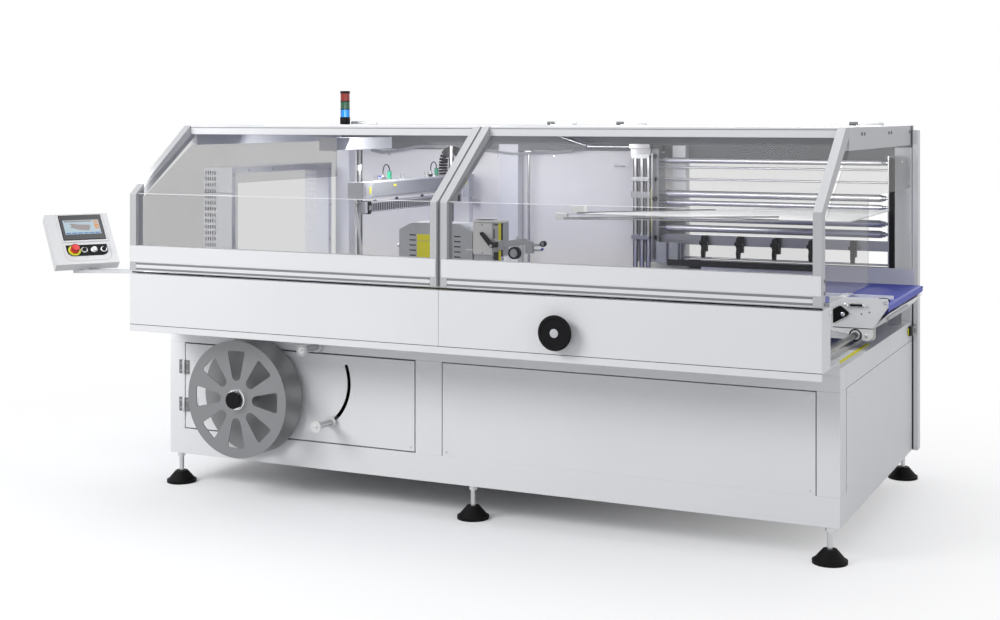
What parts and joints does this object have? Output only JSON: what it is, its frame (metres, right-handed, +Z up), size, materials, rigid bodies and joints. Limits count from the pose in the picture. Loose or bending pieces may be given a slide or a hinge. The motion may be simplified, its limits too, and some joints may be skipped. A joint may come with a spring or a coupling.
{
  "type": "continuous sealing machine",
  "caption": "Continuous side sealer for packing film: cabinet on levelling feet, belt conveyor, sealing station under lifting clear hoods, scrap film reel and swivel console.",
  "frame": {"origin": "middle of the whole outline, on the floor under the levelling pads", "axes": "+X towards the infeed end, -Y towards the operator's side with the reel and hoods, +Z up"},
  "size_m": [3.867, 1.8113, 1.723],
  "materials": {
    "white_paint": "fine textured powder coat",
    "grey_paint": "satin powder coat",
    "anodised": "satin anodised",
    "steel": "brushed",
    "chrome": "polished",
    "glass": "clear smoke tint",
    "belt": "matt royal blue belt",
    "black": "matt black",
    "lens": "clear coloured lens"
  },
  "bodies": {
    "root": {"cabinet_covers": "white_paint", "cabinet_end_rails": "white_paint", "cabinet_floor_and_deck": "white_paint", "cabinet_long_rails": "white_paint", "cabinet_posts": "white_paint", "clamp_rail": "steel", "comb_bar": "grey_paint", "console_arm": "white_paint", "console_buttons": "black", "console_case": "white_paint", "console_screen": "black", "conveyor_belts": "belt", "conveyor_frames": "steel", "fascia": "white_paint", "film_clamps": "black", "film_columns": "chrome", "film_former": "steel", "film_rollers": "chrome", "foot_pads": "black", "foot_spindles": "chrome", "front_ledge": "white_paint", "guide_roller": "chrome", "infeed_guides": "white_paint", "infeed_slide": "chrome", "portal_roof": "white_paint", "portal_sides": "white_paint", "rear_beam": "grey_paint", "rear_corner_posts": "white_paint", "rear_uprights": "white_paint", "rear_wall": "steel", "roller_plates": "steel", "seal_bar": "grey_paint", "seal_columns": "chrome", "seal_plugs": "black", "side_sealer": "grey_paint", "tower_body": "black", "tower_lenses": "lens"},
    "left_hood": {"left_hood_glass": "glass", "left_hood_hinges": "steel", "left_hood_profiles": "anodised", "left_hood_rails": "white_paint", "left_hood_roof": "grey_paint"},
    "right_hood": {"right_hood_glass": "glass", "right_hood_hinges": "steel", "right_hood_profiles": "anodised", "right_hood_rails": "white_paint", "right_hood_roof": "grey_paint"},
    "door": {"service_door": "white_paint"},
    "reel": {"reel_front_disc": "grey_paint", "reel_hub": "grey_paint", "reel_rear_disc": "grey_paint"},
    "dancer": {"dancer_roller": "chrome"},
    "wheel": {"handwheel": "black"}
  },
  "joints": [
    {"name": "left_hood_lift", "type": "hinge", "parent": "root", "child": "left_hood", "pos_m": [-0.3285, 0.8245, 1.5583], "axis": [-1, 0, 0], "range_deg": [0, 65]},
    {"name": "right_hood_lift", "type": "hinge", "parent": "root", "child": "right_hood", "pos_m": [1.1295, 0.8245, 1.5583], "axis": [-1, 0, 0], "range_deg": [0, 65]},
    {"name": "service_door_swing", "type": "hinge", "parent": "root", "child": "door", "pos_m": [-0.9815, -0.5818, 0.425], "axis": [0, 0, -1], "range_deg": [0, 110]},
    {"name": "reel_spin", "type": "hinge", "parent": "door", "child": "reel", "pos_m": [-0.6075, -0.6635, 0.418], "axis": [0, -1, 0], "continuous": true},
    {"name": "dancer_swing", "type": "hinge", "parent": "door", "child": "dancer", "pos_m": [-0.3555, -0.5415, 0.492], "axis": [0, -1, 0], "range_deg": [0, 70]},
    {"name": "handwheel_spin", "type": "hinge", "parent": "root", "child": "wheel", "pos_m": [0.8945, -0.8725, 0.805], "axis": [0, -1, 0], "continuous": true}
  ]
}
